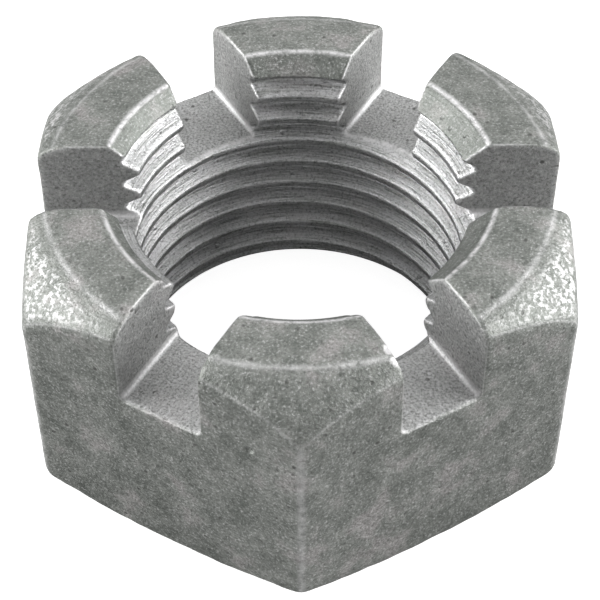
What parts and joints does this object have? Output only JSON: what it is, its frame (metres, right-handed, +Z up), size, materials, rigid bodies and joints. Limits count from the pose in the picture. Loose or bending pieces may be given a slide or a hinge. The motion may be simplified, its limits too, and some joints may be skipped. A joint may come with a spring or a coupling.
{
  "type": "castle nut",
  "caption": "Hexagonal slotted nut in one piece, with a slot through the middle of each flat, cone-turned ends and a coarse-looking internal thread.",
  "frame": {"origin": "centre of the flat bearing face, on the thread axis", "axes": "+Z runs up the thread axis to the castellated end; two flats and their slots face +X and -X, two corners face +Y and -Y"},
  "size_m": [0.0364, 0.0418, 0.0204],
  "materials": {
    "bare_steel": "dull bare steel, forged outside, turned crown and countersinks, milled slots, bright worn edges and thread flanks"
  },
  "bodies": {
    "root": {"castle_nut": "bare_steel"}
  },
  "joints": []
}
